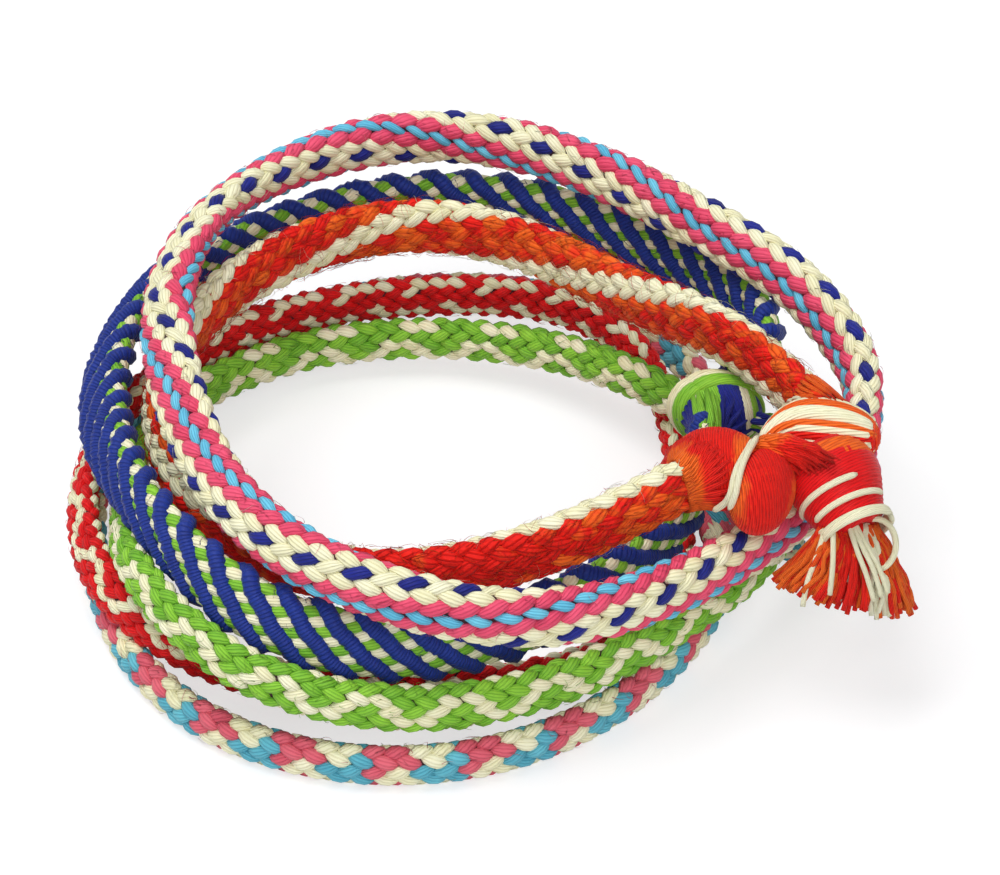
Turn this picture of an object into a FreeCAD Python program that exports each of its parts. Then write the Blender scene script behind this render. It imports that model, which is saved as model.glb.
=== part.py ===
import FreeCAD, Part
import math
import os
from FreeCAD import Placement, Rotation, Vector

# A pile of six braided floss bracelets. Millimetres, +Z up, the floor at z = 0, the origin on the
# floor under the middle of the pile. Every braid is a flat band standing on its edge, bent round
# into a loop, with both ends tied into a knot. The top one closes with a whipped tassel.

SIZES = {
    "check_width": 4.2,
    "check_thickness": 2.4,
    "check_seat_depth": 0.15,
    "red_width": 4.4,
    "red_thickness": 2.4,
    "green_width": 4.4,
    "green_thickness": 2.4,
    "navy_width": 6.0,
    "navy_thickness": 2.8,
    "orange_width": 6.0,
    "orange_thickness": 3.0,
    "pink_width": 5.4,
    "pink_thickness": 3.4,
    "stack_gap": 0.3,
    "knot_cover": 0.4,
    "check_knot_length": 7.0,
    "check_knot_depth": 4.6,
    "red_knot_length": 6.6,
    "red_knot_depth": 4.4,
    "green_knot_length": 7.0,
    "green_knot_depth": 5.4,
    "navy_knot_length": 8.4,
    "navy_knot_depth": 6.0,
    "pink_knot_length": 6.8,
    "pink_knot_depth": 5.6,
    "tail_root_radius": 0.9,
    "tail_tip_radius": 1.4,
    "tail_length": 7.5,
    "orange_knot_length": 8.8,
    "orange_knot_depth": 7.2,
    "hitch_length": 5.6,
    "hitch_depth": 8.0,
    "hitch_height": 7.4,
    "crown_length": 10.4,
    "crown_depth": 6.4,
    "whipping_length": 6.9,
    "whipping_top_radius": 4.3,
    "whipping_end_radius": 3.2,
    "binding_radius": 3.5,
    "binding_length": 1.9,
    "neck_radius": 2.7,
    "tassel_length": 5.6,
    "tassel_tip_reach": 6.6,
    "tassel_tip_depth": 3.4,
    "thread_loop_radius": 2.1,
    "thread_radius": 0.4,
}

# The share of the shorter of two runs that the arc between them takes up.
ARC_SHARE = 0.45

# The block under the floor is wider than the pile, so that it cuts all that reaches below.
FLOOR_SPAN = 120
FLOOR_DEPTH = 10

# Each route is the centre line of a braid, from knot to knot. The third value is the height of
# the centre line over the bracelet's own level, which is where it would lie if it crossed over
# every bracelet below it.
ROUTES = {
    "check": [(21.5, 0.5, 0), (22.5, 8, 0), (21.5, 16.5, 0), (17.5, 24.5, 0), (10, 30, 0),
              (1, 32.5, 0), (-8.5, 32, 0), (-17.5, 29, 0), (-25.5, 23.5, 0), (-32, 15.5, 0),
              (-35.5, 6, 0), (-35.5, -4, 0), (-33.5, -14, 0), (-29.5, -22, 0), (-23.5, -28.5, 0),
              (-15, -32.5, 0), (-6, -33.5, 0), (3, -31.5, 0), (11, -26.5, 0), (17, -19.5, 0),
              (21, -12, 0), (22, -4.5, 0)],
    "red": [(18, 3.8, -4), (17.5, 10, -3.5), (16.5, 16, -3), (13.5, 22, -2), (7.5, 26.5, -1.5),
            (0, 28, -1.5), (-8.5, 27.5, -1.5), (-16.5, 25, -1), (-24, 20, 0), (-30, 13.5, 0.5),
            (-34.5, 6, 0.5), (-36, -2.5, 0.5), (-35.5, -9, 0), (-33.5, -14.5, 0), (-30, -19, -0.5),
            (-25, -22, -2), (-18, -23.5, -4), (-9.5, -23.5, -4.5), (-1, -23.5, -4.5),
            (7, -22, -4.5), (13.5, -18, -4), (17, -11.5, -4), (18, -4.5, -4), (18, 1.7, -4)],
    "green": [(27.5, -1.5, -3.5), (23, 3.5, -3.5), (18.5, 7.5, -3), (13.5, 12.5, -3.5),
              (8, 18, -5.5), (0.5, 22, -7), (-8, 23, -7.5), (-16.5, 21.5, -7.5), (-23.5, 17, -7),
              (-29, 10.5, -6), (-32, 1.5, -5), (-32, -8, -3), (-31, -17, 0.2), (-27, -24.5, 0.4),
              (-21, -30, -1), (-13, -32, -3), (-4, -31.5, -4.5), (5, -29, -4.5),
              (12.5, -24.5, -4.5), (19, -18.5, -4.5), (25, -12.5, -4.5), (28, -5.5, -4)],
    "navy": [(21.5, 2, -2.5), (25.5, 6.5, -3), (26, 13, -3.5), (22, 20, -3.5), (15.5, 26, -4),
             (7, 31, -4), (-3, 33.5, -4), (-13, 31.5, -4), (-22.5, 26, -4), (-30.5, 19.5, -4),
             (-34, 10, -4), (-34, -1, -3.5), (-31, -11.5, -1.5), (-26.5, -20, -1), (-21, -26, -2.5),
             (-13, -28.5, -5), (-4.5, -27.5, -6.5), (3.5, -24, -7), (10.5, -19.5, -6.5),
             (16, -14, -5.5), (19.5, -8, -3.5), (20, -2.5, -2.5)],
    "orange": [(29.5, -9, -2.5), (25.5, -3, -2), (20.5, 3.5, -2.5), (14.5, 11, -5.5), (8, 18.5, -7),
               (0.5, 24, -7.5), (-8, 26, -8), (-17, 22.5, -8), (-24.5, 15, -8), (-29, 4.5, -8),
               (-28.5, -6, -8), (-24.5, -14.5, -8.5), (-17.5, -20.5, -9), (-9.5, -23, -9),
               (-1.5, -23, -8), (6, -22, -6), (13, -19.5, -4), (19, -16, -3)],
    "pink": [(32.4, -8, -16), (34.5, -0.5, -14.5), (33, 6, -12.5), (28.5, 12, -10), (21, 18.5, -9),
             (11, 27.5, -9), (0, 33, -9), (-11, 32.5, -9), (-20.5, 26.5, -9), (-26.5, 17.5, -8),
             (-28.5, 6, -7.5), (-27, -6, -7.5), (-23.5, -16.5, -8.5), (-18, -24.5, -9),
             (-10, -29.5, -10), (-1, -31.5, -11.5), (8, -29.5, -13.5), (16.5, -23.5, -15.5),
             (24, -16.5, -16.5), (31, -9.6, -16)],
}

# How far the top edge of each braid leans in towards the middle of its loop, in degrees, at each
# point of its route.
LEANS = {
    "check": [0, 0, 0, 0, 0, 0, 0, 0, 0, 0, 0, 0, 0, 0, 0, 0, 0, 0, 0, 0, 0, 0],
    "red": [0, 0, 0, 0, 0, 0, 0, 0, 0, 10, 20, 25, 25, 25, 20, 15, 0, 0, 0, 0, 0, 0, 0, 0],
    "green": [0, 0, 0, 0, 0, 0, 0, 0, 0, 0, 5, 10, 15, 15, 15, 15, 15, 10, 5, 0, 0, 0],
    "navy": [0, 0, 0, -10, -10, 0, 10, 15, 15, 20, 35, 35, 8, 8, 20, 25, 15, 10, 0, 0, 0, 0],
    "orange": [0, 0, 0, 0, 0, 0, 0, 0, 0, 10, 15, 15, 10, 0, 0, 0, 0, 0],
    "pink": [0, 0, -15, -15, -15, -10, 0, 0, 20, 45, 55, 50, 35, 20, 15, 10, 10, 10, 0, 0],
}

# Bracelets in the order in which they lie on each other, lowest first.
ORDER = ["check", "red", "green", "navy", "orange", "pink"]

# The way each knot lies, in degrees about Z, and the way its cut ends point.
KNOT_TURNS = {"check": 90, "red": 90, "green": -60, "navy": -15, "pink": 45}
TAIL_WAYS = {
    "check": Vector(0.92, -0.38, -0.08),
    "red": Vector(0.3, -0.55, 0.78),
    "green": Vector(0.5, -0.85, -0.15),
    "navy": Vector(0.9, -0.42, 0.0),
    "pink": Vector(0.35, 0.25, -0.9),
}

# The closure of the orange bracelet: how far its pieces lie from the ends of the braid, and the
# ways that its wraps and its tassel point.
ORANGE_KNOT_STEP = Vector(1.4, 0.8, 0.0)
HITCH_STEP = Vector(3.5, -2.7, -0.4)
CROWN_STEP = Vector(-0.2, -1.9, -0.3)
WHIPPING_STEP = Vector(-0.1, -2.1, -0.3)
ORANGE_KNOT_TURN = -25
HITCH_TURN = -20
CROWN_TURN = -8
WHIPPING_WAY = Vector(0.36, -0.84, -0.41)
TASSEL_WAY = Vector(-0.22, -0.25, -0.94)
LOOP_WAY = Vector(0.0, -0.766, 0.643)
LOOP_STEP = Vector(1.1, -0.1, -0.5)
LOOP_START = -75
LOOP_END = 95

doc = FreeCAD.newDocument("bracelets")
sheet = doc.addObject("Spreadsheet::Sheet", "Sizes")


def fill_sheet():
    """Write every driving dimension into the sheet as plain text, with its name as the alias."""
    for row, (name, value) in enumerate(SIZES.items(), start=1):
        sheet.set(f"A{row}", name)
        sheet.set(f"B{row}", str(value))
        sheet.setAlias(f"B{row}", name)
    doc.recompute()


def size(name):
    """The value of one cell of the sheet."""
    return float(getattr(sheet, name))


def bind(thing, **cells):
    """Tie properties of an object to expressions on the sheet."""
    for prop, formula in cells.items():
        thing.setExpression(prop, formula)
    return thing


def level(bracelet):
    """Height of a centre line that crosses over every bracelet below it."""
    height = size(f"{bracelet}_width") / 2
    for lower in ORDER[:ORDER.index(bracelet)]:
        height += size(f"{lower}_width") + size("stack_gap")
    return height


def route(bracelet):
    """Points of a braid's centre line, in the part's frame."""
    base = level(bracelet)
    return [Vector(x, y, base + rise) for x, y, rise in ROUTES[bracelet]]


def edge_route(bracelet, points):
    """Points of the line along a braid's top edge, which leans in or out beside its centre line."""
    reach = size(f"{bracelet}_width") / 2
    befores = points[:1] + points[:-1]
    afters = points[1:] + points[-1:]
    edge = []
    for before, point, after, degrees in zip(befores, points, afters, LEANS[bracelet]):
        run = after - before
        inward = Vector(-run.y, run.x, 0).normalize()
        lean = math.radians(degrees)
        edge.append(point + Vector(0, 0, reach * math.cos(lean)) + inward * (reach * math.sin(lean)))
    return edge


def route_wire(points):
    """Straight runs joined by tangent arcs, with the smallest arc radius."""
    edges = []
    radii = []
    start = points[0]
    for before, corner, after in zip(points, points[1:], points[2:]):
        run_in = corner - before
        run_out = after - corner
        reach = ARC_SHARE * min(run_in.Length, run_out.Length)
        half_turn = run_in.getAngle(run_out) / 2
        radius = reach / math.tan(half_turn)
        radii.append(radius)
        arc_start = corner - run_in.normalize() * reach
        arc_end = corner + run_out.normalize() * reach
        inward = ((arc_start + arc_end) / 2 - corner).normalize()
        arc_middle = corner + inward * (radius / math.cos(half_turn) - radius)
        edges.append(Part.LineSegment(start, arc_start).toShape())
        edges.append(Part.Arc(arc_start, arc_middle, arc_end).toShape())
        start = arc_end
    edges.append(Part.LineSegment(start, points[-1]).toShape())
    return Part.Wire(edges), min(radii)


def band_section(points, edge, thickness):
    """The oval section of a band, with its top at the start of its edge."""
    side = (edge[0] - points[0]).cross(points[1] - points[0]).normalize()
    side_point = points[0] + side * (thickness / 2)
    return Part.Wire([Part.Ellipse(edge[0], side_point, points[0]).toShape()])


def add_band(bracelet):
    """Sweep one braid along its route, and print its length, smallest radius and volume."""
    points = route(bracelet)
    edge = edge_route(bracelet, points)
    path, radius = route_wire(points)
    edge_path, edge_radius = route_wire(edge)
    width = size(f"{bracelet}_width")
    thickness = size(f"{bracelet}_thickness")
    pipe = Part.BRepOffsetAPI.MakePipeShell(path)
    pipe.setAuxiliarySpine(edge_path, False, 0)
    pipe.add(band_section(points, edge, thickness))
    pipe.build()
    pipe.makeSolid()
    band = doc.addObject("Part::Feature", f"{bracelet}_band")
    band.Shape = pipe.shape()
    expected = math.pi / 4 * width * thickness * path.Length
    share = band.Shape.Volume / expected
    print(f"{bracelet}: length {path.Length:.1f}, radius {min(radius, edge_radius):.1f}, "
          f"volume share {share:.3f}")
    return band


def cut(name, base, tool):
    """A boolean difference that keeps both of its inputs in the document."""
    piece = doc.addObject("Part::Cut", name)
    piece.Base = base
    piece.Tool = tool
    return piece


def fuse(name, *shapes):
    """A boolean union of any number of objects."""
    piece = doc.addObject("Part::MultiFuse", name)
    piece.Shapes = list(shapes)
    return piece


def add_floor():
    """A block whose top face cuts the lowest braid flat where it rests."""
    floor = doc.addObject("Part::Box", "floor_block")
    floor.Length = FLOOR_SPAN
    floor.Width = FLOOR_SPAN
    floor.Height = FLOOR_DEPTH
    corner = Vector(-FLOOR_SPAN / 2, -FLOOR_SPAN / 2, -FLOOR_DEPTH)
    floor.Placement = Placement(corner, Rotation())
    return floor


def add_oval(name, centre, turn, length, depth, height):
    """A whole ellipsoid, as long, deep and high as the sheet says, turned about Z."""
    oval = doc.addObject("Part::Ellipsoid", name)
    bind(oval, Radius1=f"{length} / 2", Radius2=f"{height} / 2", Radius3=f"{depth} / 2")
    oval.Angle1 = -90
    oval.Angle2 = 90
    poles_level = Rotation(Vector(0, 1, 0), 90)
    oval.Placement = Placement(centre, Rotation(Vector(0, 0, 1), turn).multiply(poles_level))
    return oval


def add_knot_oval(bracelet):
    """The outer shape of the overhand knot that ties both ends of a braid."""
    points = route(bracelet)
    centre = (points[0] + points[-1]) / 2
    return add_oval(f"{bracelet}_knot_oval", centre, KNOT_TURNS[bracelet],
                    f"Sizes.{bracelet}_knot_length", f"Sizes.{bracelet}_knot_depth",
                    f"(Sizes.{bracelet}_width + 2 * Sizes.knot_cover)")


def add_tail(bracelet, band, oval):
    """The cut ends of the floss that leave a knot as one bundle."""
    cone = doc.addObject("Part::Cone", f"{bracelet}_tail_cone")
    bind(cone, Radius1="Sizes.tail_root_radius", Radius2="Sizes.tail_tip_radius",
         Height="Sizes.tail_length")
    way = TAIL_WAYS[bracelet]
    cone.Placement = Placement(oval.Placement.Base, Rotation(Vector(0, 0, 1), way))
    return cut(f"{bracelet}_tail", cone, fuse(f"{bracelet}_tail_blockers", band, oval))


def add_bracelet(bracelet):
    """Braid, knot and tail of one bracelet with a plain knot."""
    band = add_band(bracelet)
    band.Label = f"{bracelet}_braid"
    oval = add_knot_oval(bracelet)
    return [band, cut(f"{bracelet}_knot", oval, band), add_tail(bracelet, band, oval)]


def add_check_bracelet():
    """The lowest bracelet, whose braid and knot are pressed flat where they rest."""
    band = add_band("check")
    band.Placement = Placement(Vector(0, 0, -size("check_seat_depth")), Rotation())
    floor = add_floor()
    oval = add_knot_oval("check")
    braid = cut("check_braid", band, floor)
    knot = cut("check_knot", oval, fuse("check_knot_blockers", band, floor))
    return [braid, knot, add_tail("check", band, oval)]


def add_whipping(start, blockers):
    """The thick barrel of wound floss that ties the cords together."""
    cone = doc.addObject("Part::Cone", "whipping_cone")
    bind(cone, Radius1="Sizes.whipping_top_radius", Radius2="Sizes.whipping_end_radius",
         Height="Sizes.whipping_length")
    cone.Placement = Placement(start, Rotation(Vector(0, 0, 1), WHIPPING_WAY))
    return cut("orange_whipping", cone, blockers)


def add_binding(end):
    """The ring of cream thread turns, and the neck of the tassel that they hold."""
    turn = Rotation(Vector(0, 0, 1), WHIPPING_WAY)
    ring = doc.addObject("Part::Cylinder", "binding_ring")
    bind(ring, Radius="Sizes.binding_radius", Height="Sizes.binding_length")
    ring.Placement = Placement(end, turn)
    neck = doc.addObject("Part::Cylinder", "tassel_neck")
    bind(neck, Radius="Sizes.neck_radius", Height="Sizes.binding_length")
    neck.Placement = Placement(end, turn)
    return ring, neck


def add_tassel(neck, neck_end):
    """The fringe of cut ends: the neck, its bend and the flared skirt, wider than it is deep."""
    bend = doc.addObject("Part::Sphere", "tassel_bend")
    bind(bend, Radius="Sizes.neck_radius")
    bend.Placement = Placement(neck_end, Rotation())
    facing = Rotation(Vector(1, 0, 0), Vector(0, 1, 0), TASSEL_WAY, "ZXY")
    root = doc.addObject("Part::Circle", "tassel_root")
    bind(root, Radius="Sizes.neck_radius")
    root.Placement = Placement(neck_end, facing)
    tips = doc.addObject("Part::Ellipse", "tassel_tips")
    bind(tips, MajorRadius="Sizes.tassel_tip_reach", MinorRadius="Sizes.tassel_tip_depth")
    way = Vector(TASSEL_WAY).normalize()
    tips.Placement = Placement(neck_end + way * size("tassel_length"), facing)
    skirt = doc.addObject("Part::Loft", "tassel_skirt")
    skirt.Sections = [root, tips]
    skirt.Solid = True
    skirt.Ruled = True
    return fuse("orange_tassel_whole", neck, bend, skirt)


def add_thread_loop(centre, blockers):
    """The loose loop of cream thread beside the binding."""
    loop = doc.addObject("Part::Torus", "thread_loop_torus")
    bind(loop, Radius1="Sizes.thread_loop_radius", Radius2="Sizes.thread_radius")
    loop.Angle3 = LOOP_END - LOOP_START
    facing = Rotation(Vector(0, 0, 1), LOOP_WAY)
    spin = Rotation(Vector(0, 0, 1), LOOP_START)
    loop.Placement = Placement(centre, facing.multiply(spin))
    return cut("cream_thread_loop", loop, blockers)


def add_orange_bracelet():
    """The bracelet with the whipped tassel: braid, wraps, whipping, binding, loop and tassel."""
    band = add_band("orange")
    band.Label = "orange_braid"
    points = route("orange")
    knot_oval = add_oval("orange_knot_oval", points[-1] + ORANGE_KNOT_STEP, ORANGE_KNOT_TURN,
                         "Sizes.orange_knot_length", "Sizes.orange_knot_depth",
                         "(Sizes.orange_width + 2 * Sizes.knot_cover)")
    knot = cut("orange_knot", knot_oval, band)
    hitch_oval = add_oval("hitch_oval", knot_oval.Placement.Base + HITCH_STEP, HITCH_TURN,
                          "Sizes.hitch_length", "Sizes.hitch_depth", "Sizes.hitch_height")
    hitch = cut("orange_hitch", hitch_oval, knot_oval)
    crown_oval = add_oval("crown_oval", points[0] + CROWN_STEP, CROWN_TURN,
                          "Sizes.crown_length", "Sizes.crown_depth",
                          "(Sizes.orange_width + Sizes.knot_cover)")
    crown = cut("orange_crown", crown_oval, fuse("crown_blockers", band, hitch_oval, knot_oval))
    start = crown_oval.Placement.Base + WHIPPING_STEP
    held = fuse("whipping_blockers", band, crown_oval, hitch_oval, knot_oval)
    whipping = add_whipping(start, held)
    way = Vector(WHIPPING_WAY).normalize()
    end = start + way * size("whipping_length")
    ring, neck = add_binding(end)
    neck_end = end + way * size("binding_length")
    whole = add_tassel(neck, neck_end)
    tassel = cut("orange_tassel", whole, whipping)
    binding = cut("cream_binding", ring, whole)
    loop = add_thread_loop(neck_end + LOOP_STEP, fuse("loop_blockers", whole, ring, whipping))
    return [band, knot, hitch, crown, whipping, binding, tassel, loop]


def check_document(pieces):
    """Stop if any object failed, or if a piece is not one or more valid closed solids."""
    for thing in doc.Objects:
        if "Invalid" in thing.State or "Error" in thing.State:
            raise RuntimeError(f"{thing.Label} failed")
    for piece in pieces:
        shape = piece.Shape
        if shape.isNull() or not shape.isValid() or not shape.Solids:
            raise RuntimeError(f"{piece.Label} has no valid solid")


def write_pieces(pieces):
    """Write each piece to a STEP file that has the piece's label as its name."""
    os.makedirs("parts", exist_ok=True)
    for piece in pieces:
        piece.Shape.exportStep(f"parts/{piece.Label}.step")
        print(f"{piece.Label}: {len(piece.Shape.Solids)} solid, {piece.Shape.Volume:.1f} mm3")


fill_sheet()
all_pieces = add_check_bracelet()
for plain in ("red", "green", "navy", "pink"):
    all_pieces = all_pieces + add_bracelet(plain)
all_pieces = all_pieces + add_orange_bracelet()
doc.recompute()
check_document(all_pieces)
write_pieces(all_pieces)
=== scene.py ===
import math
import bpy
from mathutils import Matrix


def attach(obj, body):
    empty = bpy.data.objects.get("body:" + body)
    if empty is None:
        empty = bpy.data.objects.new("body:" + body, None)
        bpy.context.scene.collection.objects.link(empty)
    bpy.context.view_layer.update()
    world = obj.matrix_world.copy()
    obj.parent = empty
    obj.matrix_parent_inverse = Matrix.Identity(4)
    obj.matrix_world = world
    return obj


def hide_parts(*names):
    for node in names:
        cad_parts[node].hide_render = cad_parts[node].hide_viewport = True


bl_info = {
    "name": "Pile of braided floss bracelets",
    "version": (1, 0, 0),
    "blender": (4, 5, 0),
    "location": "3D View > Sidebar > Bracelets",
    "description": "Six braided floss bracelets, their knots and a whipped tassel",
    "category": "Add Mesh",
}

import bmesh
import bpy
import numpy as np
from mathutils import Matrix, Vector

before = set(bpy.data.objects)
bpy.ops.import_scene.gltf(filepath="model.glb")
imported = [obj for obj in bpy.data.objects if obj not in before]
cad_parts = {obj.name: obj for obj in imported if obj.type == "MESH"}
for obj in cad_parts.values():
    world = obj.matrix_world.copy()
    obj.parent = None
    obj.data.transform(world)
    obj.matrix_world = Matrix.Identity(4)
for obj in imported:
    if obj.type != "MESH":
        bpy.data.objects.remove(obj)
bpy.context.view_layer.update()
MM = 1000  # millimetres in a metre
WHITE = (1.0, 1.0, 1.0, 1.0)

# Centre lines of the braids, from knot to knot, in millimetres.
ROUTES = {
    "check": [
        (21.5, 0.5, 2.1), (22.5, 8, 2.1), (21.5, 16.5, 2.1), (17.5, 24.5, 2.1), (10, 30, 2.1),
        (1, 32.5, 2.1), (-8.5, 32, 2.1), (-17.5, 29, 2.1), (-25.5, 23.5, 2.1), (-32, 15.5, 2.1),
        (-35.5, 6, 2.1), (-35.5, -4, 2.1), (-33.5, -14, 2.1), (-29.5, -22, 2.1),
        (-23.5, -28.5, 2.1), (-15, -32.5, 2.1), (-6, -33.5, 2.1), (3, -31.5, 2.1),
        (11, -26.5, 2.1), (17, -19.5, 2.1), (21, -12, 2.1), (22, -4.5, 2.1)],
    "red": [
        (18, 3.8, 2.7), (17.5, 10, 3.2), (16.5, 16, 3.7), (13.5, 22, 4.7), (7.5, 26.5, 5.2),
        (0, 28, 5.2), (-8.5, 27.5, 5.2), (-16.5, 25, 5.7), (-24, 20, 6.7), (-30, 13.5, 7.2),
        (-34.5, 6, 7.2), (-36, -2.5, 7.2), (-35.5, -9, 6.7), (-33.5, -14.5, 6.7), (-30, -19, 6.2),
        (-25, -22, 4.7), (-18, -23.5, 2.7), (-9.5, -23.5, 2.2), (-1, -23.5, 2.2), (7, -22, 2.2),
        (13.5, -18, 2.7), (17, -11.5, 2.7), (18, -4.5, 2.7), (18, 1.7, 2.7)],
    "green": [
        (27.5, -1.5, 7.9), (23, 3.5, 7.9), (18.5, 7.5, 8.4), (13.5, 12.5, 7.9), (8, 18, 5.9),
        (0.5, 22, 4.4), (-8, 23, 3.9), (-16.5, 21.5, 3.9), (-23.5, 17, 4.4), (-29, 10.5, 5.4),
        (-32, 1.5, 6.4), (-32, -8, 8.4), (-31, -17, 11.6), (-27, -24.5, 11.8), (-21, -30, 10.4),
        (-13, -32, 8.4), (-4, -31.5, 6.9), (5, -29, 6.9), (12.5, -24.5, 6.9), (19, -18.5, 6.9),
        (25, -12.5, 6.9), (28, -5.5, 7.4)],
    "navy": [
        (21.5, 2, 14.4), (25.5, 6.5, 13.9), (26, 13, 13.4), (22, 20, 13.4), (15.5, 26, 12.9),
        (7, 31, 12.9), (-3, 33.5, 12.9), (-13, 31.5, 12.9), (-22.5, 26, 12.9), (-30.5, 19.5, 12.9),
        (-34, 10, 12.9), (-34, -1, 13.4), (-31, -11.5, 15.4), (-26.5, -20, 15.9), (-21, -26, 14.4),
        (-13, -28.5, 11.9), (-4.5, -27.5, 10.4), (3.5, -24, 9.9), (10.5, -19.5, 10.4),
        (16, -14, 11.4), (19.5, -8, 13.4), (20, -2.5, 14.4)],
    "orange": [
        (29.5, -9, 20.7), (25.5, -3, 21.2), (20.5, 3.5, 20.7), (14.5, 11, 17.7), (8, 18.5, 16.2),
        (0.5, 24, 15.7), (-8, 26, 15.2), (-17, 22.5, 15.2), (-24.5, 15, 15.2), (-29, 4.5, 15.2),
        (-28.5, -6, 15.2), (-24.5, -14.5, 14.7), (-17.5, -20.5, 14.2), (-9.5, -23, 14.2),
        (-1.5, -23, 15.2), (6, -22, 17.2), (13, -19.5, 19.2), (19, -16, 20.2)],
    "pink": [
        (32.4, -8, 13.2), (34.5, -0.5, 14.7), (33, 6, 16.7), (28.5, 12, 19.2), (21, 18.5, 20.2),
        (11, 27.5, 20.2), (0, 33, 20.2), (-11, 32.5, 20.2), (-20.5, 26.5, 20.2),
        (-26.5, 17.5, 21.2), (-28.5, 6, 21.7), (-27, -6, 21.7), (-23.5, -16.5, 20.7),
        (-18, -24.5, 20.2), (-10, -29.5, 19.2), (-1, -31.5, 17.7), (8, -29.5, 15.7),
        (16.5, -23.5, 13.7), (24, -16.5, 12.7), (31, -9.6, 13.2)],
}

# How far each braid's top edge leans in, in degrees, at the points of its route.
LEANS = {
    "red": [0, 0, 0, 0, 0, 0, 0, 0, 0, 10, 20, 25, 25, 25, 20, 15, 0, 0, 0, 0, 0, 0, 0, 0],
    "green": [0, 0, 0, 0, 0, 0, 0, 0, 0, 0, 5, 10, 15, 15, 15, 15, 15, 10, 5, 0, 0, 0],
    "navy": [0, 0, 0, -10, -10, 0, 10, 15, 15, 20, 35, 35, 8, 8, 20, 25, 15, 10, 0, 0, 0, 0],
    "orange": [0, 0, 0, 0, 0, 0, 0, 0, 0, 10, 15, 15, 10, 0, 0, 0, 0, 0],
    "pink": [0, 0, -15, -15, -15, -10, 0, 0, 20, 45, 55, 50, 35, 20, 15, 10, 10, 10, 0, 0],
}

# How far the pattern has turned round the braid, in turns, at the points of its route.
TURNS = {
    "orange": [1.68, 1.63, 1.52, 1.38, 1.2, 1.02, 0.88, 0.64, 0.5, 0.34, 0.25, 0.15, 0.0, -0.15,
               -0.12, -0.03, -0.02, 0.0],
    "pink": [0, 0, -0.02, 0, 0.03, 0.25, 0.47, 0.72, 0.87, 1.12, 1.3, 1.0, 0.88, 0.75, 0.62,
             0.5, 0.33, 0.18, 0, -0.1],
}

# How orange a braid's yarn is at the points of its route: 0 is red, 1 is orange.
DYES = {"orange": [0.5, 0.3, 0.4, 0.4, 0.6, 0.3, 0.45, 0.2, 0.25, 0.6, 0.5, 0.15, 0.05, 0.0, 0.0,
                   0.05, 0.4, 0.7]}

# Width and thickness of each braid, in metres.
WIDTHS = {"check": 0.0042, "red": 0.0044, "green": 0.0044, "navy": 0.006, "orange": 0.006,
          "pink": 0.0054}
DEPTHS = {"check": 0.0024, "red": 0.0024, "green": 0.0024, "navy": 0.0028, "orange": 0.003,
          "pink": 0.0034}

# One line per column of stitches, from the top edge outwards and round; one letter per stitch.
CHARTS = {
    "check": ["qqcc", "qqcb", "qcbb", "ccbb", "qqcc", "qqcb", "qcbb", "ccbb"],
    "red": ["rrrr", "rrcc", "crcr", "ccrr", "rrrr", "rrrr", "rrrr", "crcc", "rcrr", "rrrr",
            "rrrc", "cccr"],
    "green": ["gggg", "ggcc", "cgcg", "ccgg", "gggg", "cggc", "gcgc", "gccg", "gggg", "ccgg"],
    "orange": ["c", "c", "o", "o", "o", "o", "c", "c", "o", "o", "o", "o"],
    "pink": ["nc", "c", "p", "s", "p", "c", "nc", "c", "p", "s", "p", "c"],
}

# Stitch pitch of each charted braid, in metres, and where its first column lies, in columns.
PITCHES = {"check": 0.002, "red": 0.00175, "green": 0.002, "orange": 0.0023, "pink": 0.0023}
FIRST_COLUMNS = {"check": 0.1, "red": 0.5, "green": 0.5, "orange": -0.5, "pink": 0.0}

# Width of a stitch in widths of its column: the usual one, and those of some floss.
STITCH_WIDTH = 1.3
BROAD = {"o": 1.5, "s": 0.95, "p": 1.55}

# How far a stitch strays along the braid, in metres, round it, in turns, and in its lean.
STRAY = (0.00006, 0.003, 0.04)

# How many stray fibres of each colour stand off a charted braid, how long they are
# there, and how thick all such fibres are at their roots, in metres.
FUZZ = {"check": {"q": 200, "c": 120}, "red": {"r": 500}, "green": {"g": 500},
        "pink": {"p": 600, "c": 200}}
FUZZ_LENGTH = 0.0011
FIBRE = 0.000028

# Where along the orange braid its second cream chain ends, as a share of its rows.
CHAIN_END = 0.6

# Plies and twist of most floss, and each floss: its name, its light and dark colours in sRGB,
# and its own plies and twist. The dark colour is partly painted shade, laid in the grooves between
# the plies, and partly a darker tone that stitches and fibres take at random.
PLIES = (12, 1.6)
FLOSS = {
    "c": ("cream_floss", (255, 253, 222), (232, 225, 166), *PLIES),
    "p": ("pink_floss", (246, 92, 126), (208, 42, 80), *PLIES),
    "q": ("rose_floss", (240, 114, 130), (202, 64, 88), *PLIES),
    "s": ("sky_floss", (124, 216, 244), (56, 158, 206), *PLIES),
    "b": ("water_floss", (112, 200, 218), (52, 144, 174), *PLIES),
    "n": ("navy_floss", (34, 44, 148), (12, 16, 80), *PLIES),
    "w": ("wound_navy_floss", (34, 60, 156), (8, 14, 68), 1, 7.5),
    "r": ("red_floss", (244, 24, 28), (186, 6, 12), *PLIES),
    "g": ("green_floss", (154, 216, 66), (62, 146, 32), *PLIES),
}

# Material slot of each floss. The last two are the red to orange yarn and the heart that is painted
# dark as the shade between stitches and strands.
SLOT = {letter: index for index, letter in enumerate("cpqsbnwrgod")}

# Length of floss for one length of the pattern of its plies, and how fine its line is drawn.
PLY_LENGTH = 0.0024
SPLINE_STEPS = 24

# The heart of a braid: sides and length of its rings, and how deep it lies.
HEART_SIDES = 20
HEART_RING = 0.0009
HEART_DEPTH = 0.00012

# How far the lowest pieces stay off the floor, in metres.
CLEARANCE = 0.00002


# ---------------------------------------------------------------- lines and sections

def add_object(name, data):
    """A new object in the scene."""
    thing = bpy.data.objects.new(name, data)
    bpy.context.scene.collection.objects.link(thing)
    return thing


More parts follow.
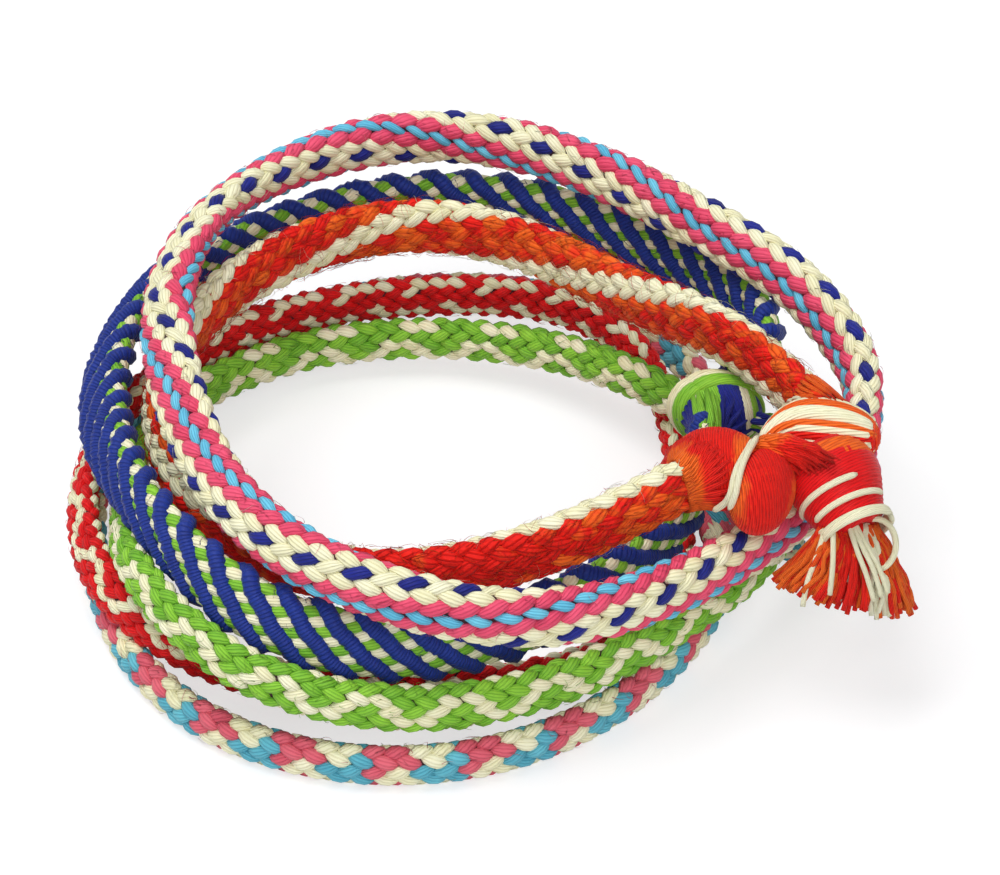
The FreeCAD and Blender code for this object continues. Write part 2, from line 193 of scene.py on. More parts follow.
def read_spline(points):
    """The points of a smooth NURBS line that follows a route in metres."""
    curve = bpy.data.curves.new("route", "CURVE")
    curve.dimensions = "3D"
    curve.resolution_u = SPLINE_STEPS
    spline = curve.splines.new("NURBS")
    spline.points.add(len(points) - 1)
    for knot, place in zip(spline.points, points):
        knot.co = (*place, 1.0)
    spline.order_u = 3
    spline.use_endpoint_u = True
    holder = add_object("route", curve)
    line = bpy.data.meshes.new_from_object(holder)
    places = get_points(line)
    bpy.data.objects.remove(holder)
    bpy.data.curves.remove(curve)
    bpy.data.meshes.remove(line)
    return places


def unit(vectors):
    """Vectors of length 1 along the last axis."""
    return vectors / np.linalg.norm(vectors, axis=-1, keepdims=True)


def arch(start, middle, end, share):
    """Points on the curve from start to end that leans towards a middle point."""
    return (1 - share) ** 2 * start + 2 * share * (1 - share) * middle + share ** 2 * end


class Band:
    """The space of one braid: metres along it, turns round it and height over its surface."""

    def __init__(self, bracelet, skin):
        route = np.array(ROUTES[bracelet], float) / MM
        count = len(route)
        run = np.vstack([route[1:], route[-1:]]) - np.vstack([route[:1], route[:-1]])
        inward = unit(np.stack([-run[:, 1], run[:, 0], 0 * run[:, 0]], 1))
        lean = np.radians(np.broadcast_to(LEANS.get(bracelet, 0), count))[:, None]
        reach = WIDTHS[bracelet] / 2
        edge = route + reach * (np.cos(lean) * [0, 0, 1] + np.sin(lean) * inward)
        self.line = read_spline(route)
        top = read_spline(edge) - self.line
        along = unit(np.gradient(self.line, axis=0))
        self.up = unit(top - along * np.sum(top * along, 1, keepdims=True))
        self.out = np.cross(along, self.up)
        steps = np.linalg.norm(np.diff(self.line, axis=0), axis=1)
        self.reach = np.concatenate([[0], np.cumsum(steps)])
        self.length = self.reach[-1]
        spans = np.clip(np.arange(count) - 0.5, 0, count - 2) / (count - 2)
        self.marks = np.interp(spans * (len(self.line) - 1), np.arange(len(self.line)), self.reach)
        self.turns = np.broadcast_to(TURNS.get(bracelet, 0), count)
        self.dyes = np.broadcast_to(DYES.get(bracelet, 0.5), count)
        self.half_width = reach - skin
        self.half_depth = DEPTHS[bracelet] / 2 - skin
        self.angle = np.linspace(0, 2 * math.pi, 721)
        ring = np.stack([self.half_width * np.cos(self.angle),
                         self.half_depth * np.sin(self.angle)], 1)
        arc = np.concatenate([[0], np.cumsum(np.linalg.norm(np.diff(ring, axis=0), axis=1))])
        self.girth = arc[-1]
        self.share = arc / arc[-1]

    def dye(self, along):
        """How orange the yarn is at these distances."""
        return np.interp(along, self.marks, self.dyes)

    def drift(self, along):
        """How far the pattern has turned at these distances."""
        return np.interp(along, self.marks, self.turns)

    def bend(self, along, turn, height):
        """Points in the row frame of points in the space of the braid."""
        along = np.clip(along, 0, self.length)
        spot, up, out = (
            np.stack([np.interp(along, self.reach, field[:, axis]) for axis in range(3)], -1)
            for field in (self.line, self.up, self.out))
        theta = np.interp(np.mod(turn, 1.0), self.share, self.angle)
        a, b = self.half_width, self.half_depth
        rise, side = np.cos(theta) / a, np.sin(theta) / b
        size = np.sqrt(rise * rise + side * side)
        rise_at = a * np.cos(theta) + height * rise / size
        side_at = b * np.sin(theta) + height * side / size
        return spot + up * rise_at[..., None] + out * side_at[..., None]


# ---------------------------------------------------------------- meshes

def get_points(mesh):
    """Vertex places of a mesh, one row each."""
    flat = np.zeros(len(mesh.vertices) * 3)
    mesh.vertices.foreach_get("co", flat)
    return flat.reshape(-1, 3)


def set_points(mesh, places):
    """Move the vertices of a mesh."""
    mesh.vertices.foreach_set("co", np.ascontiguousarray(places, float).ravel())
    mesh.update()


def dress(mesh, tone, dye, slots):
    """Give each vertex its tone, dark to light, and dye, red to orange, and each face its slot."""
    for name, values in (("tone", tone), ("dye", dye)):
        values = np.broadcast_to(values, (len(mesh.vertices),))
        layer = mesh.attributes.new(name, "FLOAT", "POINT")
        layer.data.foreach_set("value", np.ascontiguousarray(values, np.float32))
    slots = np.broadcast_to(slots, (len(mesh.polygons),))
    mesh.polygons.foreach_set("material_index", np.ascontiguousarray(slots, np.int32))
    return mesh


def finish_mesh(bm, name):
    """Write a bmesh into a new mesh and free it."""
    mesh = bpy.data.meshes.new(name)
    bm.to_mesh(mesh)
    bm.free()
    return mesh


def unit_ball(around, rings, pole="Z"):
    """A closed ball of radius 1, with UVs round its pole and along it."""
    bm = bmesh.new()
    bm.loops.layers.uv.new("UVMap")
    bmesh.ops.create_uvsphere(bm, u_segments=around, v_segments=rings, radius=1.0, calc_uvs=True)
    if pole == "X":
        bmesh.ops.rotate(bm, verts=bm.verts, cent=(0, 0, 0),
                         matrix=Matrix.Rotation(math.pi / 2, 3, "Y"))
    return finish_mesh(bm, "ball")


def unit_tube(sides, rings):
    """A closed tube of length 1 along Z and radius 1, with UVs round it and along it."""
    bm = bmesh.new()
    bmesh.ops.create_cone(bm, cap_ends=True, cap_tris=False, segments=sides,
                          radius1=1.0, radius2=1.0, depth=1.0)
    bmesh.ops.translate(bm, verts=bm.verts, vec=(0, 0, 0.5))
    sides_edges = [e for e in bm.edges if abs(e.verts[0].co.z - e.verts[1].co.z) > 0.5]
    bmesh.ops.subdivide_edges(bm, edges=sides_edges, cuts=rings - 2)
    layer = bm.loops.layers.uv.new("UVMap")
    for face in bm.faces:
        middle = face.calc_center_median()
        around = math.atan2(middle.y, middle.x)
        for loop in face.loops:
            place = loop.vert.co
            angle = math.atan2(place.y, place.x)
            angle += 2 * math.pi * round((around - angle) / (2 * math.pi))
            loop[layer].uv = (angle / (2 * math.pi), place.z)
    return finish_mesh(bm, f"tube_{sides}_{rings}")


TUBES = {}


def tube_seed(sides, rings):
    """The unit tube of that many sides and rings, made once."""
    if (sides, rings) not in TUBES:
        TUBES[(sides, rings)] = unit_tube(sides, rings)
    return TUBES[(sides, rings)]


def repeat_mesh(source, count, name):
    """A mesh that holds the same shape many times."""
    bm = bmesh.new()
    for _ in range(count):
        bm.from_mesh(source)
    return finish_mesh(bm, name)


def join_meshes(name, parts):
    """One smooth mesh of several, which are removed."""
    bm = bmesh.new()
    for part in parts:
        bm.from_mesh(part)
        bpy.data.meshes.remove(part)
    mesh = finish_mesh(bm, name)
    mesh.polygons.foreach_set("use_smooth", np.ones(len(mesh.polygons), bool))
    for letter in SLOT:
        mesh.materials.append(floss(letter))
    return mesh


def side_frames(places):
    """Two directions square to a line at each of its points, turned as little as possible."""
    along = unit(np.gradient(places, axis=0))
    start = np.cross(along[0], [0.0, 0.0, 1.0])
    if np.linalg.norm(start) < 0.1:
        start = np.cross(along[0], [1.0, 0.0, 0.0])
    sides = [unit(start)]
    for step in along[1:]:
        sides.append(unit(sides[-1] - step * np.dot(sides[-1], step)))
    sides = np.array(sides)
    return sides, np.cross(along, sides)


def stretch_uv(mesh, around, along):
    """Scale the UVs of a mesh, round the strand and along it."""
    layer = mesh.uv_layers["UVMap"].uv
    flat = np.zeros(len(layer) * 2, np.float32)
    layer.foreach_get("vector", flat)
    flat = flat.reshape(-1, 2) * [around, along]
    layer.foreach_set("vector", np.ascontiguousarray(flat, np.float32).ravel())


def strand(places, radius, letter, tone=0.5, sides=8, flat=1.0, blunt=False, dye=0.5, over=None):
    """A tube of floss along a line, thin towards its ends unless it is blunt.

    A flat strand lies with its broad side on the surface whose normals are over.
    """
    rings = len(places)
    mesh = repeat_mesh(tube_seed(sides, rings), 1, "strand")
    local = get_points(mesh)
    ring = np.rint(local[:, 2] * (rings - 1)).astype(int)
    share = np.linspace(0, 1, rings)
    radii, dyes = (np.broadcast_to(values, (rings,)) for values in (radius, dye))
    if not blunt:
        ends = np.minimum(share, 1 - share) * (rings - 1)
        radii = radii * np.sqrt(np.clip((ends + 0.25) / 1.6, 0.02, 1))
    if over is None:
        left, over = side_frames(places)
    else:
        left = unit(np.cross(over, np.gradient(places, axis=0)))
    set_points(mesh, places[ring] + radii[ring, None] * (
        left[ring] * local[:, :1] + flat * over[ring] * local[:, 1:2]))
    length = np.linalg.norm(np.diff(places, axis=0), axis=1).sum()
    stretch_uv(mesh, 1.0, length / PLY_LENGTH)
    return dress(mesh, tone, dyes[ring], SLOT[letter])


def braid_core(band, letter):
    """The heart of a braid, under its stitches, in the darkest tone of its floss: painted shade
    between them.
    """
    mesh = repeat_mesh(tube_seed(HEART_SIDES, int(band.length / HEART_RING)), 1, "heart")
    local = get_points(mesh)
    turn = np.arctan2(local[:, 1], local[:, 0]) / (2 * math.pi)
    middle = np.hypot(local[:, 0], local[:, 1]) < 1e-6
    height = np.where(middle, -band.half_depth, -HEART_DEPTH)
    set_points(mesh, band.bend(local[:, 2] * band.length, turn, height))
    stretch_uv(mesh, 3.0, band.length / PLY_LENGTH)
    return dress(mesh, 0.0, 0.0, SLOT[letter])


def place_puffs(band, along, turn, slots, tones, dyes, length, width, height, lean, sink):
    """Stitches as lenses on the surface of a braid, each with its own place, lean and tone."""
    seed = unit_ball(around=8, rings=7, pole="X")
    count = len(along)
    corners, faces = len(seed.vertices), len(seed.polygons)
    x, y, z = get_points(seed).T
    mesh = repeat_mesh(seed, count, "stitches")
    bpy.data.meshes.remove(seed)
    width, height, lean = (np.broadcast_to(v, (count,))[:, None] for v in (width, height, lean))
    slim = 1.0 - 0.25 * x ** 4
    forward = (length / 2) * x
    across = (width / 2) * y * slim
    rise = height * z * slim - sink * x * x
    s = along[:, None] + forward * np.cos(lean) + across * np.sin(lean)
    t = turn[:, None] + (forward * np.sin(lean) - across * np.cos(lean)) / band.girth
    set_points(mesh, band.bend(s, t + band.drift(s), rise).reshape(-1, 3))
    return dress(mesh, np.repeat(tones, corners), np.repeat(dyes, corners),
                 np.repeat(slots, faces))


def chart_puffs(band, bracelet, settings, seed):
    """The stitches of a braid, laid out as its chart says."""
    chart = CHARTS[bracelet]
    dice = np.random.default_rng(seed)
    columns, pitch = len(chart), PITCHES[bracelet]
    rows = int(band.length / pitch)
    places = []
    for column, letters in enumerate(chart):
        for row in range(rows):
            letter = letters[row % len(letters)]
            if bracelet == "orange" and column > 5 and row > CHAIN_END * rows:
                letter = "o"
            places.append(((row + 0.4 + 0.5 * (column % 2)) * pitch,
                           (column + FIRST_COLUMNS[bracelet]) / columns,
                           settings.stitch_lean * (1 if column % 2 else -1), SLOT[letter]))
    *places, slots = np.array(places).T
    count = len(slots)
    along, turn, lean = (value + dice.normal(0, stray, count)
                         for value, stray in zip(places, STRAY))
    dyes = np.clip(band.dye(along) + dice.normal(0, 0.25, count), 0, 1)
    stout = np.array([BROAD.get(letter, STITCH_WIDTH) for letter in SLOT])
    height = settings.puff * np.where(slots == SLOT["o"], 0.8, 1.0)
    height *= np.where(along > band.length - pitch, 0.4, 1.0)  # drawn tight into the knot
    return place_puffs(band, along, turn, slots, dice.uniform(0.2, 1.0, count), dyes,
                       pitch * settings.overlap, band.girth / columns * stout[slots.astype(int)],
                       height, lean, settings.sink)


def add_fuzz(band, columns, letter, count, length, seed, spread=0.4):
    """Fine stray fibres that stand off the columns of a braid that have their colour."""
    dice = np.random.default_rng(seed)
    source = tube_seed(3, 4)
    x, y, share = get_points(source).T
    mesh = repeat_mesh(source, count, "fuzz")
    each, margin = (count, 1), 0.002
    along = dice.uniform(margin, band.length - margin, each)
    turn = dice.choice(columns, each) + dice.uniform(-0.035, 0.035, each) + band.drift(along)
    way = dice.choice([0, math.pi], each) + dice.normal(0, 0.5, each)
    size = length * dice.uniform(0.4, 1.2, each)
    curl = dice.normal(0, 0.6, each)
    stand = dice.uniform(0.03, spread, each)
    radius = FIBRE * (1 - 0.7 * share)
    heading = way + curl * share
    s = along + size * share * np.cos(heading) - radius * x * np.sin(heading)
    t = turn + (size * share * np.sin(heading) + radius * x * np.cos(heading)) / band.girth
    h = 0.0004 + size * stand * share * (1.3 - share) - radius * y
    set_points(mesh, band.bend(s, t, h).reshape(-1, 3))
    dyes = np.clip(band.dye(along[:, 0]) + dice.normal(0.15, 0.3, count), 0, 1)
    # The fibres take light tones, painted light that offsets the shade on their thin sides.
    tones = dice.uniform(0.7, 1.3, count)
    return dress(mesh, np.repeat(tones, len(x)), np.repeat(dyes, len(x)), SLOT[letter])


def chart_fuzz(band, bracelet, counts, length):
    """Stray fibres for a charted braid, as many of each colour as the counts say."""
    chart = CHARTS[bracelet]
    parts = []
    for letter, count in counts.items():
        columns = [(index + FIRST_COLUMNS[bracelet]) / len(chart)
                   for index, letters in enumerate(chart)
                   if letters.count(letter) > 1 or letters == letter]
        parts.append(add_fuzz(band, columns, letter, count, length, count))
    return parts


class Oval:
    """The space of a knot: an ellipsoid with its own way about Z, in millimetres and degrees."""

    def __init__(self, centre, turn, length, depth, height):
        self.centre = np.array(centre) / MM
        self.half = np.array([length, depth, height]) / MM / 2
        angle = math.radians(turn)
        self.turn = np.array([[math.cos(angle), -math.sin(angle), 0],
                              [math.sin(angle), math.cos(angle), 0], [0, 0, 1]])

    def place(self, sphere, sink):
        """Points of the unit sphere set on the oval, sunk by a strand's radius."""
        return self.centre + (sphere * (self.half - sink)) @ self.turn.T

    def ball(self, places):
        """Points in the space in which the oval is the unit sphere."""
        return (places - self.centre) @ self.turn / self.half

    def normal(self, sphere):
        """Directions square to the oval at points of the unit sphere."""
        return unit((sphere / self.half) @ self.turn.T)

    def heart(self, sink):
        """A ball painted dark as the shade between the strands, which fills the oval under them."""
        mesh = unit_ball(around=20, rings=12)
        set_points(mesh, self.place(get_points(mesh), sink))
        return dress(mesh, 0.0, 0.0, SLOT["d"])

    def wrap(self, axis, latitude, radius, letter, tone=0.5, dye=0.5, start=0.52, end=1.56,
             sway=0.0, sink=0.95, flat=1.0):
        """A strand that runs round the oval about an axis, at a latitude in degrees."""
        axis = unit(np.array(axis, float))
        first = unit(np.cross(axis, [0.3, 0.9, 0.2]))
        second = np.cross(axis, first)
        steps = max(8, int(34 * (end - start)))
        angle = 2 * math.pi * np.linspace(start, end, steps)[:, None]
        rise = np.radians(latitude + sway * np.sin(2 * angle))
        sphere = (axis * np.sin(rise)
                  + np.cos(rise) * (first * np.cos(angle) + second * np.sin(angle)))
        return strand(self.place(sphere, radius * flat * sink), radius, letter, tone, flat=flat,
                      dye=dye, over=self.normal(sphere))

    def winding(self, axis, letters, dyes, seed, spread=84):
        """Strands side by side round the oval, one per letter, from one end to the other."""
        dice = np.random.default_rng(seed)
        count = len(letters)
        gap = math.pi * (self.half[0] + self.half[1]) / 2 * (2 * spread / 180) / count
        latitudes = np.linspace(-spread, spread, count)
        shades = np.interp(np.linspace(0, 1, count), np.linspace(0, 1, len(dyes)), dyes)
        parts = [self.heart(gap)]
        for letter, latitude, dye in zip(letters, latitudes, shades):
            parts.append(self.wrap(axis, latitude + dice.normal(0, 0.8),
                                   gap * dice.uniform(0.9, 1.2), letter, dice.uniform(0.4, 0.9),
                                   dye, sway=dice.uniform(1, 5), flat=0.42))
        return parts

    def throat(self, band, at_end, letters, dyes, reach, seed, radius=0.00042):
        """Strands that leave the end of a braid and spread over the knot, one per letter."""
        dice = np.random.default_rng(seed)
        foot, gate, tip = 0.0024, 0.0008, 0.0
        if at_end:
            foot, gate, tip = band.length - foot, band.length - gate, band.length
        middle = band.bend(np.full(2, tip), np.array([0.0, 0.5]), np.zeros(2)).mean(0)
        pole = unit(self.ball(middle))
        share = np.linspace(0, 1, 16)[:, None]
        parts = []
        for index, letter in enumerate(letters):
            turn = (index + 0.5) / len(letters) + band.drift(foot)
            spots = band.bend(np.array([foot, gate]), np.full(2, turn), np.full(2, 0.00025))
            first = self.ball(spots[1])
            away = unit(first - pole * np.dot(first, pole))
            away = unit(away + 0.5 * np.cross(pole, away))
            angle = math.radians(reach * dice.uniform(0.85, 1.1))
            last = pole * math.cos(angle) + away * math.sin(angle)
            sphere = self.ball(arch(*spots, self.place(last, 0), share))
            sphere *= np.maximum(1, 1 / np.linalg.norm(sphere, axis=1, keepdims=True))
            sphere *= 1 + 0.03 * np.sin(math.pi * share) - 0.1 * share ** 8
            radii = radius * np.interp(share[:, 0], [0, 0.2, 0.55, 1], [0.7, 1, 0.9, 0.12])
            parts.append(strand(self.place(sphere, 0), radii, letter, dice.uniform(0.4, 0.9),
                                flat=0.6, blunt=True, dye=np.interp(share[:, 0], [0.3, 1], dyes),
                                over=self.normal(sphere)))
        return parts

    def meridian(self, side, start, end, radius, letter, tone, dye, pinch):
        """A strand from where the strands are pinched to the oval's far end, over one side."""
        rings = 22
        bow = math.pi * np.linspace(start, end, rings)[:, None]
        way = math.radians(side)
        sphere = np.hstack([-np.cos(bow), np.sin(bow) * math.cos(way), np.sin(bow) * math.sin(way)])
        line = self.place(sphere, radius * 0.9)
        pull = np.clip(1 - np.linspace(0, 1, rings) / 0.45, 0, 1)[:, None] ** 2
        root = pinch + (line[0] - self.place(np.array([-1.0, 0, 0]), 0)) * 0.5
        return strand(line + pull * (root - line[0]), radius, letter, tone, dye=dye)


# Angle from one strand of a bundle to the next, in radians, and the rings of each strand.
GOLDEN_ANGLE = 2.39996
BUNDLE_RINGS = 14


def bundle(start, end, spread, count, radius, pick, seed, bow=None, root=0.25,
           cut=(0.88, 1.06), flat=1.0, tones=(0.2, 1.0)):
    """Strands that leave a knot together and open towards their cut ends."""
    dice = np.random.default_rng(seed)
    start, end = np.array(start) / MM, np.array(end) / MM
    middle = (start + end) / 2 if bow is None else np.array(bow) / MM
    along = unit(end - middle)
    side = unit(np.cross(along, [0.0, 1.0, 0.3]))
    over = np.cross(along, side)
    share = np.linspace(0, 1, BUNDLE_RINGS)[:, None]
    strands = []
    for index in range(count):
        reach = math.sqrt((index + 0.5) / count)
        angle = index * GOLDEN_ANGLE + dice.uniform(-0.3, 0.3)
        offset = (side * math.cos(angle) + flat * over * math.sin(angle)) * reach * spread / MM
        tip = middle + (end - middle) * dice.uniform(*cut) + offset
        line = arch(start + offset * root, middle + offset * (root + 0.25), tip, share)
        line = line + dice.normal(0, 0.00012, 3) * np.sin(share * 15 + dice.uniform(0, 6))
        letter, dye = pick(index, offset * MM / spread, dice)
        strands.append(strand(line, radius, letter, dice.uniform(*tones), sides=7, blunt=True,
                              dye=dye))
    return strands


def routed_strands(routes, radius, blunt):
    """Cream strands along routes in millimetres."""
    return [strand(read_spline(np.array(route) / MM)[::3], radius, "c", 0.9, blunt=blunt)
            for route in routes]


# ---------------------------------------------------------------- materials

def linear(colour):
    """A scene-linear colour from an sRGB one of 0 to 255."""
    parts = [c / 255 for c in colour]
    return (*(p / 12.92 if p <= 0.04045 else ((p + 0.055) / 1.055) ** 2.4 for p in parts), 1.0)


def feed(tree, node, inputs):
    """Give the inputs of a node their plain values or the sockets that drive them."""
    for key, value in inputs.items():
        if isinstance(value, bpy.types.NodeSocket):
            tree.links.new(value, node.inputs[key])
        else:
            node.inputs[key].default_value = value
    return node


def add_node(tree, kind, inputs=None, **settings):
    """A shader node with its settings and inputs."""
    node = tree.nodes.new("ShaderNode" + kind)
    for name, value in settings.items():
        setattr(node, name, value)
    return feed(tree, node, inputs or {})


def calculate(tree, operation, *values):
    """The result of a Math node fed by sockets or plain numbers."""
    return add_node(tree, "Math", dict(enumerate(values)), operation=operation).outputs[0]


def mix_colour(tree, share, first, second):
    """A colour between two, each a socket or a plain linear colour."""
    return add_node(tree, "Mix", {0: share, 6: first, 7: second}, data_type="RGBA").outputs[2]


def plies_group():
    """Twisted plies of floss: ridges that run along a strand and slowly round it."""
    existing = bpy.data.node_groups.get("floss_plies")
    if existing:
        return existing
    group = bpy.data.node_groups.new("floss_plies", "ShaderNodeTree")
    for label in ("Plies", "Twist", "Hairs"):
        group.interface.new_socket(label, in_out="INPUT", socket_type="NodeSocketFloat")
    for label in ("Height", "Groove", "Drift"):
        group.interface.new_socket(label, in_out="OUTPUT", socket_type="NodeSocketFloat")
    inlet = group.nodes.new("NodeGroupInput").outputs
    uv = add_node(group, "UVMap", uv_map="UVMap").outputs["UV"]
    parts = add_node(group, "SeparateXYZ", {0: uv}).outputs
    around = calculate(group, "MULTIPLY", parts["X"], inlet["Plies"])
    along = calculate(group, "MULTIPLY", parts["Y"], inlet["Twist"])
    phase = calculate(group, "MULTIPLY", calculate(group, "ADD", around, along), math.pi)
    ridge = calculate(group, "ABSOLUTE", calculate(group, "SINE", phase))
    ridge = calculate(group, "POWER", ridge, 0.6)
    fine = calculate(group, "SINE", calculate(group, "MULTIPLY", phase, 4.0))
    place = add_node(group, "TexCoord").outputs["Object"]
    hairs, drift = (
        add_node(group, "TexNoise", {"Vector": place, "Scale": scale, "Detail": detail}).outputs[0]
        for scale, detail in ((4200.0, 2.0), (700.0, 3.0)))
    height = calculate(group, "MULTIPLY_ADD", fine, 0.1, ridge)
    feed(group, group.nodes.new("NodeGroupOutput"), {
        "Height": calculate(group, "MULTIPLY_ADD", hairs, inlet["Hairs"], height),
        # Groove: the ply ridges, which the floss materials use as a mask of painted shade between
        # the plies.
        "Groove": calculate(group, "MULTIPLY_ADD", fine, 0.12, ridge),
        "Drift": drift})
    return group


def floss_tree(name, plies, twist, bump, roughness, sheen, hairs):
    """A material with the floss plies in it, and the sockets that colour it."""
    material = bpy.data.materials.new(name)
    material.use_nodes = True
    tree = material.node_tree
    group = add_node(tree, "Group", {"Plies": plies, "Twist": twist, "Hairs": hairs},
                     node_tree=plies_group())
    relief = add_node(tree, "Bump", {"Strength": 1.0, "Distance": bump,
                                     "Height": group.outputs["Height"]})
    shader = feed(tree, tree.nodes["Principled BSDF"], {
        "Roughness": roughness, "Sheen Weight": sheen, "Sheen Roughness": 0.4,
        "Specular IOR Level": 0.2, "Normal": relief.outputs["Normal"]})
    tone = add_node(tree, "Attribute", attribute_name="tone")
    return material, tree, shader, group.outputs, tone.outputs["Fac"]


def plain_floss(name, light, dark, plies, twist):
    """Six-strand floss of one colour, with painted shade between its plies and a tone that differs
    at random.
    """
    material, tree, shader, group, tone = floss_tree(
        name, plies, twist, bump=0.00007, roughness=0.5, sheen=0.05,
        hairs=1.0 if plies == 1 else 0.5)
    # The groove term is painted shade between the plies; the tone and drift terms differ at random.
    share = calculate(tree, "MULTIPLY_ADD", group["Groove"], 0.36, 0.09)
    share = calculate(tree, "MULTIPLY_ADD", tone, 0.45, share)
    share = calculate(tree, "MULTIPLY_ADD", group["Drift"], 0.6, share)
    share = calculate(tree, "SUBTRACT", share, 0.26)
    feed(tree, shader, {"Base Color": mix_colour(tree, share, linear(dark), linear(light))})
    return material


def variegated_floss():
    """Fluffy yarn that is dyed from red to orange along its length, with painted shade between its
    plies.
    """
    material, tree, shader, group, tone = floss_tree(
        "red_orange_yarn", 9, 1.6, bump=0.00012, roughness=0.65, sheen=0.03, hairs=0.7)
    dye = add_node(tree, "Attribute", attribute_name="dye").outputs["Fac"]
    blend = calculate(tree, "MULTIPLY_ADD", group["Drift"], 1.2, dye)
    ramp = add_node(tree, "MapRange", {"Value": blend, "From Min": 0.85, "From Max": 1.25})
    dark, light = (mix_colour(tree, ramp.outputs[0], linear(red), linear(orange))
                   for red, orange in (((206, 10, 12), (240, 66, 6)),
                                       ((250, 34, 20), (255, 118, 36))))
    # The groove term is painted shade between the plies; the tone term differs at random.
    share = calculate(tree, "MULTIPLY", group["Groove"], 0.55)
    share = calculate(tree, "MULTIPLY_ADD", tone, 0.4, share)
    feed(tree, shader, {"Base Color": mix_colour(tree, share, dark, light)})
    return material


def painted_shade_heart():
    """The heart of a braid, seen only between its stitches, painted dark as the shade there."""
    material, tree, shader, group, _ = floss_tree(
        "braid_heart_painted_shade", 8, 1.0, bump=0.00006, roughness=0.9, sheen=0.05, hairs=0.5)
    feed(tree, shader, {"Base Color": mix_colour(tree, group["Drift"], linear((34, 20, 30)),
                                                 linear((92, 60, 64)))})
    return material


def floss(letter):
    """The material of a floss, made once."""
    if letter == "o":
        return bpy.data.materials.get("red_orange_yarn") or variegated_floss()
    if letter == "d":
        return bpy.data.materials.get("braid_heart_painted_shade") or painted_shade_heart()
    return bpy.data.materials.get(FLOSS[letter][0]) or plain_floss(*FLOSS[letter])


# ---------------------------------------------------------------- pieces

def add_piece(name, parts, body, node):
    """Join the parts of a piece and set it in the frame in the place of its CAD node."""
    piece = add_object(name, join_meshes(name, parts))
    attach(piece, body)
    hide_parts(node)
    return piece


def add_floss(bracelet, kind, parts):
    """Make a piece of a bracelet in that bracelet's own floss."""
    node = f"{bracelet}_{kind}"
    return add_piece(node + "_floss", parts, bracelet + "_bracelet", node)


def rest_on_floor(piece):
    """Press the underside of the lowest piece flat where it rests."""
    places = get_points(piece.data)
    places[:, 2] = np.maximum(places[:, 2], CLEARANCE)
    set_points(piece.data, places)


# Each knot: centre in millimetres, turn in degrees, length, depth, height, and its floss.
KNOTS = {
    "check": ((21.75, -2.0, 2.1), 90, 7.0, 4.6, 5.0, "bbbcccqqqqcccbb"),
    "red": ((18.0, 2.75, 2.7), 90, 6.6, 4.4, 5.2, "rrrrcccrrrrrccr"),
    "green": ((27.75, -3.5, 7.65), -60, 7.0, 5.4, 5.2, "ggggcccggggggcc"),
    "navy": ((20.75, -0.25, 14.4), -15, 8.4, 6.0, 6.8, "cccccccccggggnnnnccggnnn"),
    "pink": ((31.7, -8.8, 13.2), 45, 6.8, 5.6, 6.2, "ppppcccnnpppsss"),
}
# The floss of the strands where each braid enters its knot, from the top edge outwards and round.
THROATS = {
    "check": "qqqqccccccccbbbbbbqqqqcccc",
    "red": "rrrrrrrrrrcccrrrrrrrrrrrrr",
    "green": "gggggggcccggggggggggggcccg",
    "navy": "gggnnnnnnnnnnnnnnnnnnnnngg",
    "pink": "ccpppppssppppcccppppssppcc",
}
# The way that the cut ends leave each knot, and from how far to how far, in millimetres.
TAILS = {
    "check": (0.92, -0.38, -0.08),
    "red": (0.3, -0.55, 0.78),
    "green": (0.5, -0.85, -0.15),
    "navy": (0.9, -0.42, 0.0),
    "pink": (0.35, 0.25, -0.9),
}
TAIL_REACH = (1.6, 7.3)


def add_knot(bracelet, band):
    """The overhand knot: cords of floss wrapped round each other."""
    *shape, letters = KNOTS[bracelet]
    oval = Oval(*shape)
    parts = oval.winding((1, 0.25, 0.15), letters, [0.5, 0.5], len(letters))
    for index in range(4):
        parts.append(oval.wrap((0.5, -0.75, 0.2), 11 * index - 16, 0.0005, letters[index // 2 * 9],
                               0.3 * index, start=0.0, end=1.04, sink=0.35))
    for at_end in (False, True):
        parts += oval.throat(band, at_end, THROATS[bracelet], (0.5, 0.5), reach=80, seed=17)
    return add_floss(bracelet, "knot", parts)


def add_tail(bracelet):
    """The cut ends of the floss that leave the knot."""
    centre, letters = Vector(KNOTS[bracelet][0]), KNOTS[bracelet][-1]
    way = Vector(TAILS[bracelet]).normalized()
    root, tip = (centre + way * reach for reach in TAIL_REACH)
    parts = bundle(root, tip, 1.15, 18, 0.0003,
                   lambda index, offset, dice: (letters[index % len(letters)], 0.5),
                   len(bracelet), root=0.5)
    return add_floss(bracelet, "tail", parts)


class BraidSettings(bpy.types.PropertyGroup):
    """Sizes of the stitches and the stray fibres of the braids."""

    overlap: bpy.props.FloatProperty(
        name="Overlap", description="Length of a stitch in pitches of its column",
        default=1.4, min=1.0, max=2.0, subtype="FACTOR")
    puff: bpy.props.FloatProperty(
        name="Puff", description="Half the thickness of a stitch",
        default=0.00048, min=0.0001, max=0.002, precision=5, subtype="DISTANCE", unit="LENGTH")
    sink: bpy.props.FloatProperty(
        name="Sink", description="How far the ends of a stitch dip under their neighbours",
        default=0.00042, min=0.0, max=0.002, precision=5, subtype="DISTANCE", unit="LENGTH")
    skin: bpy.props.FloatProperty(
        name="Skin", description="How far the stitches stand over the heart of the braid",
        default=0.00032, min=0.0, max=0.001, precision=5, subtype="DISTANCE", unit="LENGTH")
    stitch_lean: bpy.props.FloatProperty(
        name="Stitch lean", description="How far each stitch leans off the line of the braid",
        default=0.36, min=0.0, max=1.5, subtype="ANGLE", unit="ROTATION")
    ridge_pitch: bpy.props.FloatProperty(
        name="Ridge pitch", description="Distance along the navy braid between two ridges",
        default=0.0036, min=0.001, max=0.02, precision=5, subtype="DISTANCE", unit="LENGTH")
    fuzz: bpy.props.IntProperty(
        name="Fuzz", description="Number of stray fibres on the fluffy braid",
        default=3000, min=0, max=10000)


